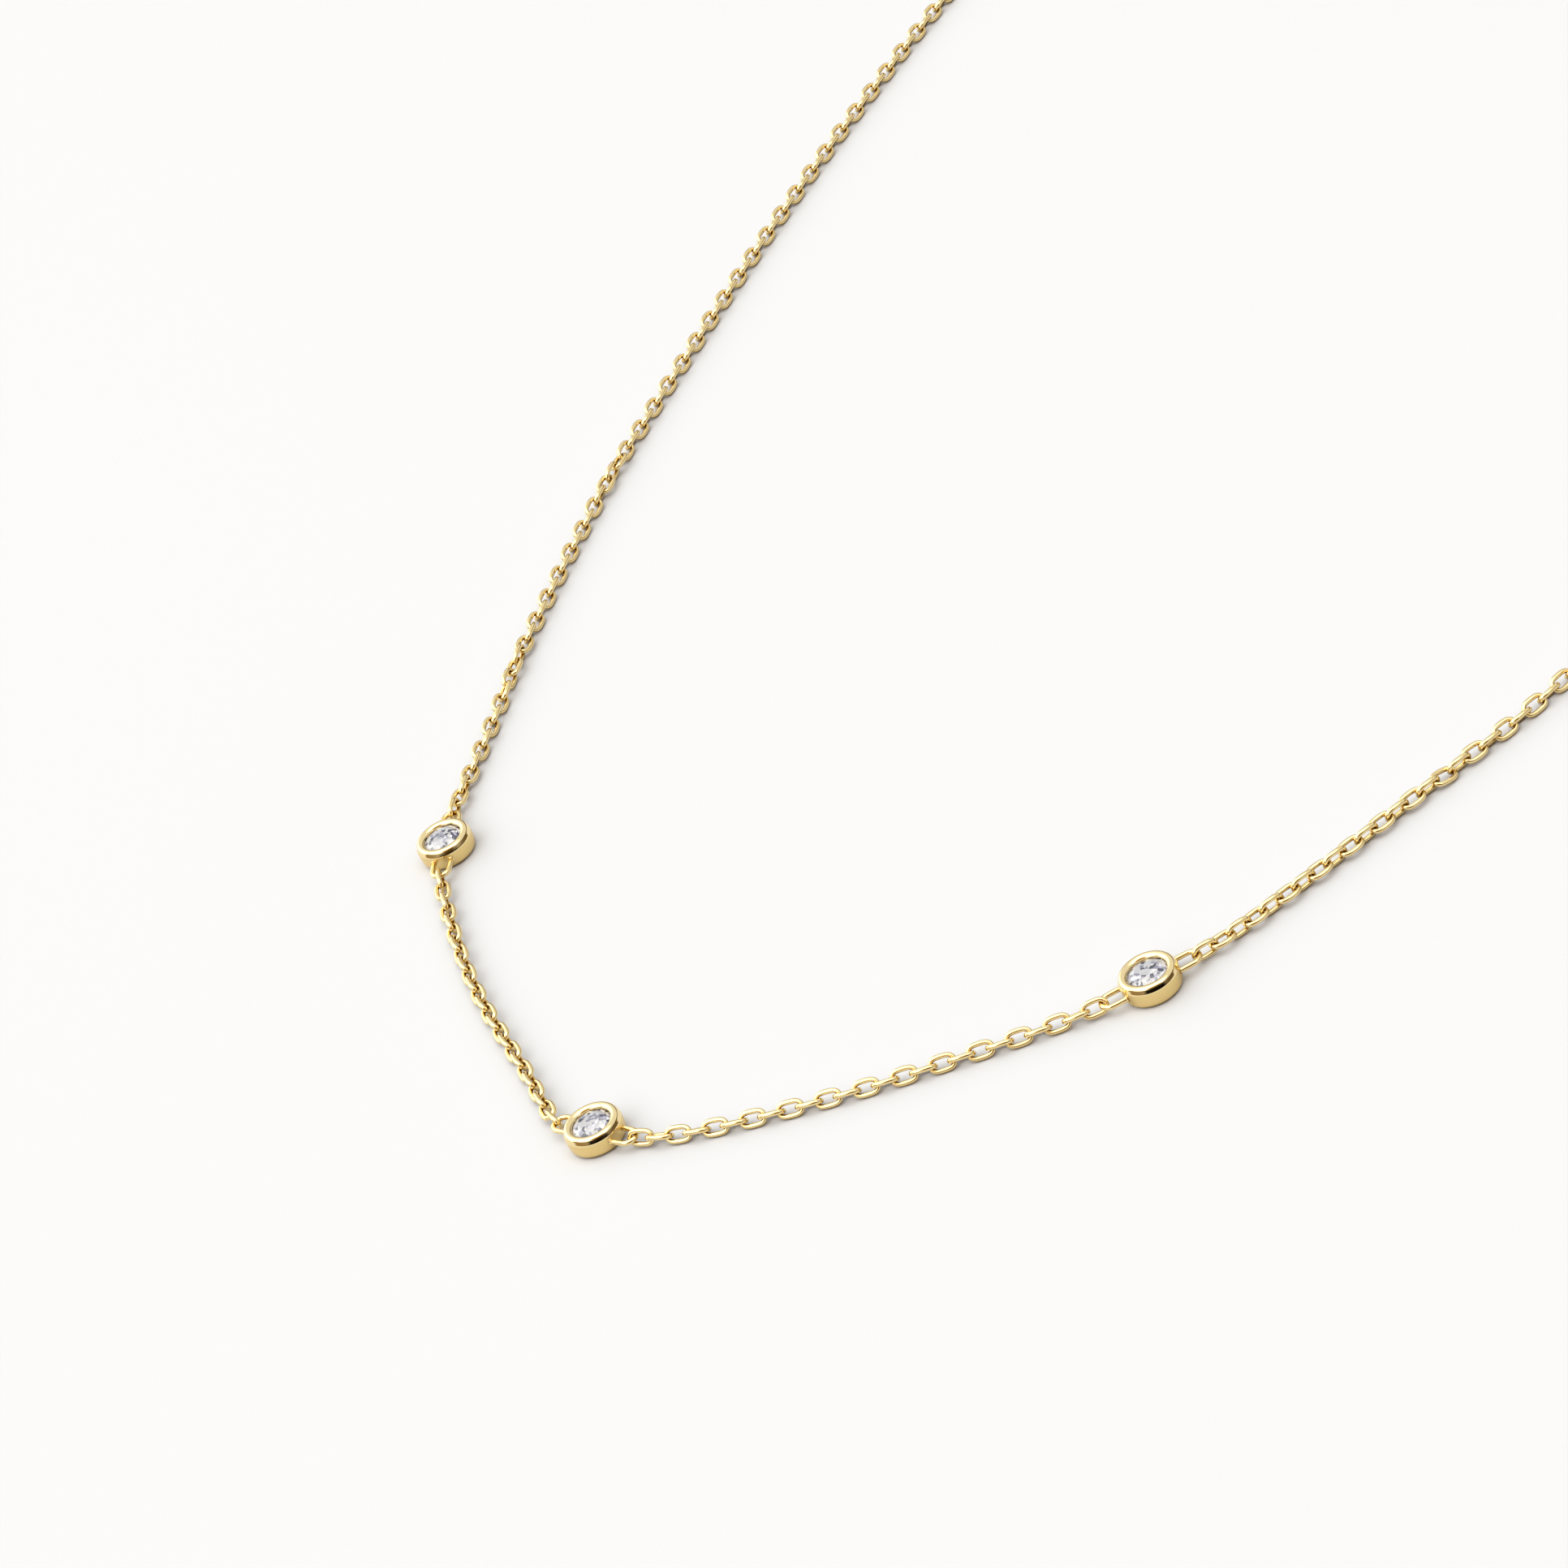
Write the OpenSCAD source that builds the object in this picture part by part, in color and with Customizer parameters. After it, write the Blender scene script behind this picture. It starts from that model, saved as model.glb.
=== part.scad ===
// Station necklace, in millimetres, lying on a flat surface at z = 0.
// A cable chain carries three round bezel-set stones, evenly spaced along its front.
// The stretches beside the stones are true links. The back of the chain is a plain tube.

/* [Chain] */
// Thickness of a link's wire
link_wire = 0.32; // [0.28:0.01:0.34]
// Length of a link, outside
link_length = 2.24; // [2.16:0.02:2.4]
// Width of a link, outside
link_width = 1.42; // [1.3:0.02:1.6]
// Play between two links where they hook together
link_play = 0.18; // [0.16:0.01:0.22]
// Number of links left of the left station
links_left = 76; // [20:1:76]
// Number of links right of the right station
links_right = 16; // [4:1:16]

/* [Station] */
// Diameter of a cup at its rim
rim_diameter = 4.4; // [4.2:0.05:4.8]
// Diameter of a cup at its foot
foot_diameter = 4.2; // [3.9:0.05:4.3]
// Radius of the rounded edge at a cup's foot
foot_edge = 0.45; // [0.3:0.05:0.5]
// Height of a cup
cup_height = 1.8; // [1.7:0.02:2]
// Thickness of the rounded rim
rim_wire = 0.74; // [0.7:0.01:0.78]
// Diameter of the hole in a cup's foot
foot_hole = 2.2; // [1.8:0.05:2.4]
// Thickness of a loop's wire
loop_wire = 0.3; // [0.26:0.01:0.34]
// Distance from a cup's middle to the far end of its loop's wire
loop_reach = 3.85; // [3.75:0.01:4.2]
// Width of a loop, from wire middle to wire middle
loop_width = 1.6; // [1.4:0.02:1.8]
// Height of the loops over the surface
loop_height = 0.85; // [0.8:0.01:0.95]

/* [Stone] */
// Diameter of a stone
stone_diameter = 3.1; // [2.9:0.02:3.2]
// Height of the crown, from girdle to table
crown_height = 0.42; // [0.36:0.01:0.46]
// Depth of the pavilion, from girdle to point
pavilion_depth = 1.2; // [1:0.02:1.24]
// Play between a stone and its cup
stone_play = 0.03; // [0.02:0.005:0.05]

/* [Clasp] */
// Diameter of the clasp's ring, from tube middle to tube middle
clasp_diameter = 4.4; // [4:0.1:6]
// Thickness of the clasp's tube
clasp_tube = 0.9; // [0.8:0.02:1]
// Diameter of the end ring, from wire middle to wire middle
ring_diameter = 2.1; // [2:0.02:2.4]
// Thickness of the end ring's wire
ring_wire = 0.4; // [0.34:0.02:0.44]

/* [Hidden] */
// Distances along the route to the middles of the three stations
PLACES = [180.9, 223.95, 266.45];
// The route of the chain's middle line: clasp, down the left, along the front, back up the right
ROUTE = [
    [101, 88], [91.5, 102], [76, 109.5], [59.5, 108.8], [46, 101.2],
    [32.6, 89.1], [20.4, 76.6], [9.1, 63.8], [-1.6, 50.9], [-11.6, 36.6], [-19.2, 23.8],
    [-23.8, 15.8], [-24.9, 12.5], [-26.2, 9.2],
    [-26.9, 0.5], [-26.8, -8], [-25.8, -18],
    [-25, -26.2], [-22.8, -29.1], [-20.6, -31.8],
    [-17.4, -33.7], [-12.3, -35.9], [-4.3, -38.6], [4, -40.7], [8.4, -41.7],
    [13.1, -42.6], [16.5, -42.5], [19.9, -42.3],
    [25.5, -41], [37.2, -37.4],
    [52.5, -32], [68, -22.5], [82, -8], [92.5, 11], [99, 32], [102.2, 53], [103, 71.5]
];
// How far the links of each stretch lean from flat and upright: link number, degrees
LEAN_LEFT = [[0, 45], [43, 45], [49, -45], [59.6, -45], [65.6, 45], [70, 45], [75, 90]];
LEAN_FRONT_LEFT = [[0, 0], [2, 0], [6, 28], [21, 28], [24, 15]];
LEAN_FRONT_RIGHT = [[0, -25], [1.5, -37], [20, -37], [24, -30]];
LEAN_RIGHT = [[0, 0], [15, 25]];

// Smoothness of the route and of the parts
ROUTE_STEPS = 24;
LINK_SIDES = 10;
WIRE_SIDES = 5;
TUBE_SIDES = 8;
STONE_SIDES = 8;
FINE = 48;
// Most of a tube's rings are this many tube widths apart
RING_STEP = 2.9;
// Links over which the chain climbs to a station's loops
CLIMB = 2.5;

// Sizes that follow from the ones above
link_half = (link_width - link_wire) / 2;
link_pitch = link_length - 2 * link_wire - link_play;
link_past_joint = (link_length - link_pitch) / 2;
rest_height = link_half * sin(45) + link_wire / 2;
joint_reach = loop_reach - loop_wire / 2 - link_play / 2;
rim_radius = rim_diameter / 2;
rim_middle = rim_radius - rim_wire / 2;
rim_height = cup_height - rim_wire / 2;
girdle_radius = stone_diameter / 2;
girdle_band = 0.06;
table_share = 0.57;
table_rise = 0.04;
table_radius = table_share * girdle_radius;
table_height = cup_height + table_rise;
girdle_height = table_height - crown_height - girdle_band;
loop_turn = loop_width / 2;
loop_start = foot_diameter / 4;
stone_turn = 45 / 2;
clasp_radius = clasp_diameter / 2;
ring_radius = ring_diameter / 2;

// Route functions
function next(i) = (i + 1) % len(ROUTE);
function before(i) = (i + len(ROUTE) - 1) % len(ROUTE);
function bend(a, b, c, d, t) =
    (2 * b + (c - a) * t + (2 * a - 5 * b + 4 * c - d) * t * t + (3 * b - a - 3 * c + d) * t * t * t) / 2;
function on_span(i, t) = bend(ROUTE[before(i)], ROUTE[i], ROUTE[next(i)], ROUTE[next(next(i))], t);
CURVE = [
    for (i = [0 : len(ROUTE) - 1], k = [0 : ROUTE_STEPS - 1]) on_span(i, k / ROUTE_STEPS),
    ROUTE[0]
];
STEPS = [for (i = [0 : len(CURVE) - 2]) norm(CURVE[i + 1] - CURVE[i])];
RUN = [for (i = 0, s = 0; i < len(CURVE); s = s + (i < len(STEPS) ? STEPS[i] : 0), i = i + 1) s];
TOTAL = RUN[len(RUN) - 1];
RUN_X = [for (i = [0 : len(CURVE) - 1]) [RUN[i], CURVE[i].x]];
RUN_Y = [for (i = [0 : len(CURVE) - 1]) [RUN[i], CURVE[i].y]];
function wrap(s) = s < 0 ? s + TOTAL : s > TOTAL ? s - TOTAL : s;
function at(s) = [lookup(wrap(s), RUN_X), lookup(wrap(s), RUN_Y)];
function heading(a, b) = atan2((b - a).y, (b - a).x);

// The stations lie straight between the joints on their two sides
function station_heading(i) = heading(at(PLACES[i] - joint_reach), at(PLACES[i] + joint_reach));
function station_middle(i) = (at(PLACES[i] - joint_reach) + at(PLACES[i] + joint_reach)) / 2;

// The origin is under the middle of everything
STATIONS = [for (i = [0 : 2]) station_middle(i)];
link_edge = link_width / 2;
LOW = [for (a = [0, 1]) min([for (p = CURVE) p[a] - link_edge, for (p = STATIONS) p[a] - rim_radius])];
HIGH = [for (a = [0, 1]) max([for (p = CURVE) p[a] + link_edge, for (p = STATIONS) p[a] + rim_radius])];
MIDDLE = (LOW + HIGH) / 2;

// Stretches of links: start and end along the route, number of links, leans,
// and whether there is a station's loop at the start and at the end
start_left = PLACES[0] - joint_reach - links_left * link_pitch;
end_right = PLACES[2] + joint_reach + links_right * link_pitch;
function fitting(length) = round(length / link_pitch);
function stretch_between(a, b, leans) =
    [a + joint_reach, b - joint_reach, fitting(b - a - 2 * joint_reach), leans, true, true];
LEFT = [start_left, PLACES[0] - joint_reach, links_left, LEAN_LEFT, false, true];
FRONT_LEFT = stretch_between(PLACES[0], PLACES[1], LEAN_FRONT_LEFT);
FRONT_RIGHT = stretch_between(PLACES[1], PLACES[2], LEAN_FRONT_RIGHT);
RIGHT = [PLACES[2] + joint_reach, end_right, links_right, LEAN_RIGHT, true, false];

// Every second link is turned a quarter turn, and all lean
function turn(row, k) = (k % 2 == 0 ? 90 : 0) + lookup(k, row[3]);
function need(row, k) = link_half * abs(sin(turn(row, k))) + link_wire / 2;
function joint_need(row, j) = max(need(row, max(j - 1, 0)), need(row, min(j, row[2] - 1)));
function climb(row, j) = max(row[4] ? 1 - j / CLIMB : 0, row[5] ? 1 - (row[2] - j) / CLIMB : 0, 0);
function joint_height(row, j) =
    joint_need(row, j) + (loop_height - joint_need(row, j)) * climb(row, j);
function joint(row, j) =
    let (p = at(row[0] + (row[1] - row[0]) * j / row[2])) [p.x, p.y, joint_height(row, j)];

// Puts the route's plane over the origin
module laid() {
    translate([-MIDDLE.x, -MIDDLE.y, 0])
        children();
}

// Sides of a closed ring of sections, with whole flat caps when it is open
function skin(sections, sides, closed) = [
    for (i = [0 : sections - (closed ? 1 : 2)], j = [0 : sides - 1])
        let (a = i * sides, b = ((i + 1) % sections) * sides, k = (j + 1) % sides)
            each [[a + j, a + k, b + k], [a + j, b + k, b + j]],
    if (!closed) each [
        [for (j = [0 : sides - 1]) sides - 1 - j],
        [for (j = [0 : sides - 1]) (sections - 1) * sides + j]
    ]
];

// One link, flat, with straight sides and round ends
straight_half = (link_length - link_wire) / 2 - link_half;
function link_out(i) =
    let (half = LINK_SIDES / 2, a = 180 * (i % half) / (half - 1) - 90)
        (i < half ? 1 : -1) * [cos(a), sin(a)];
function link_middle(i) =
    link_half * link_out(i) + [(i < LINK_SIDES / 2 ? 1 : -1) * straight_half, 0];
module link() {
    points = [
        for (i = [0 : LINK_SIDES - 1], j = [0 : WIRE_SIDES - 1])
            let (b = 360 / WIRE_SIDES * j, q = link_middle(i) + link_wire / 2 * cos(b) * link_out(i))
                [q.x, q.y, link_wire / 2 * sin(b)]
    ];
    polyhedron(points, skin(LINK_SIDES, WIRE_SIDES, true));
}

// A stretch of hooked links along the route
module links(row) {
    for (k = [0 : row[2] - 1]) {
        p = joint(row, k);
        q = joint(row, k + 1);
        along = q - p;
        translate((p + q) / 2)
            rotate([0, -asin(along.z / norm(along)), heading(p, q)])
                rotate([turn(row, k), 0, 0])
                    link();
    }
}

// A plain tube along the route, for the chain at the back
tube_corner = rest_height / cos(180 / TUBE_SIDES);
function tube_ring(s) =
    let (p = at(s), h = heading(at(s - link_pitch / 2), at(s + link_pitch / 2)))
        [for (j = [0 : TUBE_SIDES - 1])
            let (b = 360 / TUBE_SIDES * (j + 1 / 2), r = tube_corner * cos(b))
                [p.x + r * sin(h), p.y - r * cos(h), rest_height + tube_corner * sin(b)]];
module tube(a, b) {
    rings = ceil((b - a) / (RING_STEP * 2 * rest_height)) + 1;
    points = [for (i = [0 : rings - 1]) each tube_ring(a + (b - a) * i / (rings - 1))];
    polyhedron(points, skin(rings, TUBE_SIDES, false));
}

// A flat loop of round wire whose straight legs start at the origin
module loop(reach, turn_radius, wire) {
    straight = reach - turn_radius;
    translate([straight, 0, 0])
        rotate([0, 0, -90])
            rotate_extrude(angle = 180, $fn = FINE)
                translate([turn_radius, 0])
                    circle(d = wire, $fn = FINE);
    for (side = [-1, 1])
        translate([0, side * turn_radius, 0])
            rotate([0, 90, 0])
                cylinder(h = straight, d = wire, $fn = FINE);
}

// The cup: foot, wall and rounded rim, with a seat for the stone and an open foot
module cup_body() {
    rotate_extrude($fn = FINE) {
        polygon([
            [0, foot_edge], [foot_diameter / 2, foot_edge],
            [rim_radius, rim_height], [rim_middle, rim_height], [0, rim_height]
        ]);
        square([foot_diameter / 2 - foot_edge, rim_height]);
        translate([foot_diameter / 2 - foot_edge, foot_edge])
            circle(r = foot_edge, $fn = FINE);
        translate([rim_middle, rim_height])
            circle(d = rim_wire, $fn = FINE);
    }
}
module cup_hollow() {
    seat = girdle_radius + stone_play;
    seat_height = girdle_height - stone_play;
    lid = girdle_height + girdle_band + stone_play;
    crown_run = girdle_radius - table_radius;
    hole_radius = foot_hole / 2;
    cone_depth = pavilion_depth * (seat - hole_radius) / girdle_radius;
    translate([0, 0, -foot_edge])
        cylinder(h = cup_height, r = hole_radius, $fn = FINE);
    translate([0, 0, seat_height - cone_depth])
        cylinder(h = cone_depth, r1 = hole_radius, r2 = seat, $fn = FINE);
    translate([0, 0, seat_height])
        cylinder(h = lid - seat_height, r = seat, $fn = FINE);
    translate([0, 0, lid])
        cylinder(h = crown_height, r1 = seat, r2 = seat - crown_run, $fn = FINE);
}
module setting(i) {
    laid()
        translate([STATIONS[i].x, STATIONS[i].y, 0])
            rotate([0, 0, station_heading(i)])
                difference() {
                    union() {
                        cup_body();
                        for (end = [0, 180])
                            rotate([0, 0, end])
                                translate([loop_start, 0, loop_height])
                                    loop(loop_reach - loop_start, loop_turn, loop_wire);
                    }
                    cup_hollow();
                }
}

// A round brilliant: table, star and main facets above, main and lower facets below
function ring(radius, z, shift) = [
    for (i = [0 : STONE_SIDES - 1])
        let (a = 360 / STONE_SIDES * (i + shift))
            [radius * cos(a), radius * sin(a), z]
];
module stone_body() {
    n = STONE_SIDES;
    half = 180 / n;
    crown_corner = (girdle_radius + table_radius) / 2;
    lower_corner = girdle_radius / 4;
    top = girdle_height + girdle_band;
    crown_run = girdle_radius - table_radius;
    corner_rise = crown_height * (girdle_radius - crown_corner * cos(half)) / crown_run;
    corner_drop = pavilion_depth * (girdle_radius - lower_corner * cos(half)) / girdle_radius;
    points = concat(
        ring(table_radius, table_height, 0),
        ring(crown_corner, top + corner_rise, 0.5),
        ring(girdle_radius, top, 0),
        ring(girdle_radius, top, 0.5),
        ring(girdle_radius, girdle_height, 0),
        ring(girdle_radius, girdle_height, 0.5),
        ring(lower_corner, girdle_height - corner_drop, 0.5),
        [[0, 0, girdle_height - pavilion_depth]]
    );
    faces = [
        [for (i = [0 : n - 1]) n - 1 - i],
        for (i = [0 : n - 1]) let (j = (i + 1) % n) each [
            [i, j, n + i],
            [j, 2 * n + j, n + i],
            [i, n + i, 2 * n + i],
            [n + i, 3 * n + i, 2 * n + i],
            [n + i, 2 * n + j, 3 * n + i],
            [2 * n + i, 3 * n + i, 5 * n + i, 4 * n + i],
            [3 * n + i, 2 * n + j, 4 * n + j, 5 * n + i],
            [4 * n + i, 5 * n + i, 6 * n + i],
            [5 * n + i, 4 * n + j, 6 * n + i],
            [4 * n + i, 6 * n + i, 7 * n],
            [6 * n + i, 4 * n + j, 7 * n]
        ]
    ];
    polyhedron(points, faces);
}
module stone(i) {
    laid()
        translate([STATIONS[i].x, STATIONS[i].y, 0])
            rotate([0, 0, station_heading(i) + stone_turn * i])
                stone_body();
}

// The clasp is one plain ring that leans on the end ring which passes round its tube
clasp_lift = ring_wire + 2 * link_play;
clasp_tilt = asin(clasp_lift / clasp_diameter);
clasp_heading = heading(at(-clasp_radius), at(clasp_radius));
loop_out = clasp_radius + loop_reach - rim_radius;
ring_place = clasp_radius + ring_radius - ring_wire / 2 - clasp_tube / 2 - link_play;
module clasp_body() {
    laid()
        translate([at(0).x, at(0).y, 0])
            rotate([0, 0, clasp_heading])
                translate([-clasp_radius, 0, clasp_tube / 2])
                    rotate([0, -clasp_tilt, 0])
                        translate([clasp_radius, 0, 0]) {
                            rotate_extrude($fn = FINE)
                                translate([clasp_radius, 0])
                                    circle(d = clasp_tube, $fn = FINE);
                            rotate([0, 0, 90])
                                translate([clasp_radius, 0, 0])
                                    rotate([0, 90, 0])
                                        cylinder(h = clasp_tube, d = clasp_tube / 2, $fn = FINE);
                            rotate([0, 0, 180])
                                translate([clasp_radius, 0, 0])
                                    loop(loop_out - clasp_radius, loop_turn, loop_wire);
                        }
}
module end_ring_body() {
    laid()
        translate([at(0).x, at(0).y, 0])
            rotate([0, 0, clasp_heading])
                translate([ring_place, 0, ring_radius + ring_wire / 2])
                    rotate([90, 0, 0])
                        rotate_extrude($fn = FINE)
                            translate([ring_radius, 0])
                                circle(d = ring_wire, $fn = FINE);
}

// Parts
module setting_left() {
    color("gold")
        setting(0);
}
module setting_middle() {
    color("gold")
        setting(1);
}
module setting_right() {
    color("gold")
        setting(2);
}
module stone_left() {
    color("white")
        stone(0);
}
module stone_middle() {
    color("white")
        stone(1);
}
module stone_right() {
    color("white")
        stone(2);
}
module chain_left() {
    color("gold")
        laid()
            links(LEFT);
}
module chain_front_left() {
    color("gold")
        laid()
            links(FRONT_LEFT);
}
module chain_front_right() {
    color("gold")
        laid()
            links(FRONT_RIGHT);
}
module chain_right() {
    color("gold")
        laid()
            links(RIGHT);
}
ring_end = clasp_radius + 2 * ring_radius - clasp_tube / 2 - link_play;
module back_left() {
    color("gold")
        laid()
            tube(ring_end + link_play, start_left - link_past_joint - link_play);
}
module back_right() {
    color("gold")
        laid()
            tube(end_right + link_past_joint + link_play, TOTAL - loop_out - link_play - loop_wire / 2);
}
module clasp() {
    color("gold")
        clasp_body();
}
module end_ring() {
    color("gold")
        end_ring_body();
}

setting_left();
setting_middle();
setting_right();
stone_left();
stone_middle();
stone_right();
chain_left();
chain_front_left();
chain_front_right();
chain_right();
back_left();
back_right();
clasp();
end_ring();
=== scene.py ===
# %% [markdown]
# # A station necklace
#
# A fine cable chain lies in a closed loop on a pale surface. Three small cups, each with a
# clear brilliant in it, sit along its front at almost equal distances. This lesson dresses the
# bare model of that necklace: it loads the model as a fixed frame, and then gives each stretch
# of chain, each cup and each stone its real shape and finish.
#
# Everything is in metres here, so a link is only two thousandths long. A named millimetre
# keeps the sizes readable.

# %% Load the frame
import math
from bisect import bisect_right
import bmesh
import bpy
from mathutils import Matrix, Vector


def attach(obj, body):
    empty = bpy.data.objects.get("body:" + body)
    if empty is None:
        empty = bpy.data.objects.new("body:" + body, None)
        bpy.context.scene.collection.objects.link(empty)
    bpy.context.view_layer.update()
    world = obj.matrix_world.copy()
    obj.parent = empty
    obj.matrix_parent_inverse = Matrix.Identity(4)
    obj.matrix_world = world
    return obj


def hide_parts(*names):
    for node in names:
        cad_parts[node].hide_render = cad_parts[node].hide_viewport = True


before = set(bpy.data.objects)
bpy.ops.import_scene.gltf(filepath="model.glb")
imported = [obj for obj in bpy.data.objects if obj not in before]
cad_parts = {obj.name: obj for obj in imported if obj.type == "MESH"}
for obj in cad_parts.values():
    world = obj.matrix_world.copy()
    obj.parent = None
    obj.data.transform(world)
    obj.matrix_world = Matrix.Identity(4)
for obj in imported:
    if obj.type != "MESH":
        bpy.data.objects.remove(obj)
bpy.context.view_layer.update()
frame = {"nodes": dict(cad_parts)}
MM = 0.001
print("nodes:", ", ".join(frame["nodes"]))

# %% [markdown]
# ## The route of the chain
#
# A chain has no shape of its own: it lies where it was dropped. A few points chosen along
# its middle are enough, because a smooth curve through them fills in the rest. Here the
# curve is a Catmull-Rom spline, which passes through every one of its points. Blender's own
# curve objects could draw it too, but links have to be set at equal steps along it, so the
# length along the curve is measured here, once, in a table.

# %% Route points, clasp first, down the left, along the front and back up the right
ROUTE = [
    (101, 88), (91.5, 102), (76, 109.5), (59.5, 108.8), (46, 101.2),
    (32.6, 89.1), (20.4, 76.6), (9.1, 63.8), (-1.6, 50.9), (-11.6, 36.6), (-19.2, 23.8),
    (-23.8, 15.8), (-24.9, 12.5), (-26.2, 9.2),
    (-26.9, 0.5), (-26.8, -8), (-25.8, -18),
    (-25, -26.2), (-22.8, -29.1), (-20.6, -31.8),
    (-17.4, -33.7), (-12.3, -35.9), (-4.3, -38.6), (4, -40.7), (8.4, -41.7),
    (13.1, -42.6), (16.5, -42.5), (19.9, -42.3),
    (25.5, -41), (37.2, -37.4),
    (52.5, -32), (68, -22.5), (82, -8), (92.5, 11), (99, 32), (102.2, 53), (103, 71.5),
]
# The middles of the three cups, as lengths along the route
PLACES = (180.9, 223.95, 266.45)
STEPS_PER_SPAN = 24


def spline_point(i, t):
    """The point at share t of the span after route point i."""
    a, b, c, d = (Vector(ROUTE[(i + k) % len(ROUTE)]) for k in (-1, 0, 1, 2))
    straight = 2 * b + (c - a) * t
    curved = (2 * a - 5 * b + 4 * c - d) * t * t + (3 * b - a - 3 * c + d) * t ** 3
    return (straight + curved) / 2


curve = [spline_point(i, k / STEPS_PER_SPAN) for i in range(len(ROUTE)) for k in range(STEPS_PER_SPAN)]
curve.append(curve[0])
run = [0.0]
for p, q in zip(curve, curve[1:]):
    run.append(run[-1] + (q - p).length)
TOTAL = run[-1]
print(f"the chain's middle line is {TOTAL:.1f} mm long")

# %% A place at any length along the route
def at(s):
    """The point of the route at s millimetres from the clasp."""
    s = s % TOTAL
    i = min(bisect_right(run, s) - 1, len(curve) - 2)
    share = (s - run[i]) / (run[i + 1] - run[i])
    return curve[i].lerp(curve[i + 1], share)


def heading(p, q):
    """The direction from p to q on the surface, in radians."""
    return math.atan2(q.y - p.y, q.x - p.x)


print("middle station near", tuple(round(v, 1) for v in at(PLACES[1])))

# %% [markdown]
# ## Sizes
#
# These are the sizes of the pieces in millimetres. A link is a ring of thin wire drawn
# out to an oval. Its pitch, the step from one link to the next, is its length less two wires
# and the play between them. The chain hooks into a cup's loop at the joint reach, measured
# from the cup's middle.

# %% Sizes of the links, the cups and their loops
LINK_WIRE = 0.41
LINK_LENGTH = 2.28
LINK_WIDTH = 1.42
LINK_PITCH = 1.42
LOOP_WIRE = 0.40
# A loop's reach and width are measured at the middle of its wire
LOOP_REACH = 3.81
LOOP_WIDTH = 1.42
LOOP_HEIGHT = 0.85
LOOP_START = 1.2
BEAD_RADIUS = 0.28
RIM_RADIUS = 2.20
FOOT_RADIUS = 2.17
FOOT_EDGE = 0.42
CUP_HEIGHT = 1.80
OPENING_RADIUS = 1.47
JOINT_REACH = 3.61
# Links from the left and the right cup to the ends of what the picture shows
LINKS_LEFT = 76
LINKS_RIGHT = 16
link_half = (LINK_WIDTH - LINK_WIRE) / 2
before = [p - JOINT_REACH for p in PLACES]
after = [p + JOINT_REACH for p in PLACES]
print("a link's inner hole is", round(LINK_WIDTH - 2 * LINK_WIRE, 2), "mm wide")

# %% The middle of the model, which lies over the origin
stations = [(at(p) + at(q)) / 2 for p, q in zip(before, after)]
turns = [heading(at(p), at(q)) for p, q in zip(before, after)]
outline = [(p, LINK_WIDTH / 2) for p in curve] + [(p, RIM_RADIUS) for p in stations]
low = [min(p[a] - r for p, r in outline) for a in (0, 1)]
high = [max(p[a] + r for p, r in outline) for a in (0, 1)]
MIDDLE = Vector(((low[0] + high[0]) / 2, (low[1] + high[1]) / 2))
print("the route's middle is", tuple(round(v, 2) for v in MIDDLE))

# %% [markdown]
# ## The camera
#
# The picture was taken from a little under half a metre with a long lens, looking down at a
# little over a third of a right angle, with the camera rolled to one side. A camera in Blender
# looks along its own -Z with +Y up, so its matrix is built from three directions: right, up
# and backwards.

# %% Camera
VIEW_HEIGHT = math.radians(33.60)
VIEW_ROLL = math.radians(26.54)
VIEW_DISTANCE = 484.7
AIM_HEIGHT = 0.54
FOCAL_PIXELS = 8072
PICTURE_PIXELS = 1932
SENSOR = 36.0
NEAR_CLIP = 0.01
FAR_CLIP = 20

forward = Vector((0, math.cos(VIEW_HEIGHT), -math.sin(VIEW_HEIGHT)))
level = Vector((1, 0, 0))
upright = level.cross(forward)
right = level * math.cos(VIEW_ROLL) - upright * math.sin(VIEW_ROLL)
up = right.cross(forward)
aim = Vector((-MIDDLE.x, -MIDDLE.y, AIM_HEIGHT)) * MM
place = aim - forward * VIEW_DISTANCE * MM
turned = Matrix((right, up, -forward)).transposed().to_4x4()

camera = bpy.data.objects.new("camera", bpy.data.cameras.new("camera"))
camera.data.sensor_width = SENSOR
camera.data.lens = FOCAL_PIXELS / PICTURE_PIXELS * SENSOR
camera.data.clip_start = NEAR_CLIP
camera.data.clip_end = FAR_CLIP
camera.matrix_world = Matrix.Translation(place) @ turned
bpy.context.collection.objects.link(camera)
bpy.context.scene.camera = camera
print("camera at", tuple(round(v, 3) for v in place), "lens", round(camera.data.lens, 1))

# %% [markdown]
# ## Shader helpers
#
# A material is a graph of nodes. Written out link by link it is hard to read, so one small
# class wraps a socket and lets Python's own signs build the maths: `1 - mask` adds a Math
# node, and so does `a * b`. Each material starts with its shader and its output, and every
# other node comes from one method.

# %% Sockets with Python's signs
class Output:
    """An output socket that can be added, taken away and multiplied."""

    def __init__(self, graph, socket):
        self.graph = graph
        self.socket = socket

    def math(self, operation, first, second):
        return self.graph.node("ShaderNodeMath", {"operation": operation}, {0: first, 1: second})

    def __add__(self, other):
        return self.math("ADD", self, other)

    def __radd__(self, other):
        return self.math("ADD", other, self)

    def __sub__(self, other):
        return self.math("SUBTRACT", self, other)

    def __rsub__(self, other):
        return self.math("SUBTRACT", other, self)

    def __mul__(self, other):
        return self.math("MULTIPLY", self, other)

    def __rmul__(self, other):
        return self.math("MULTIPLY", other, self)


print("sockets can be added, taken away and multiplied")

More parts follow.
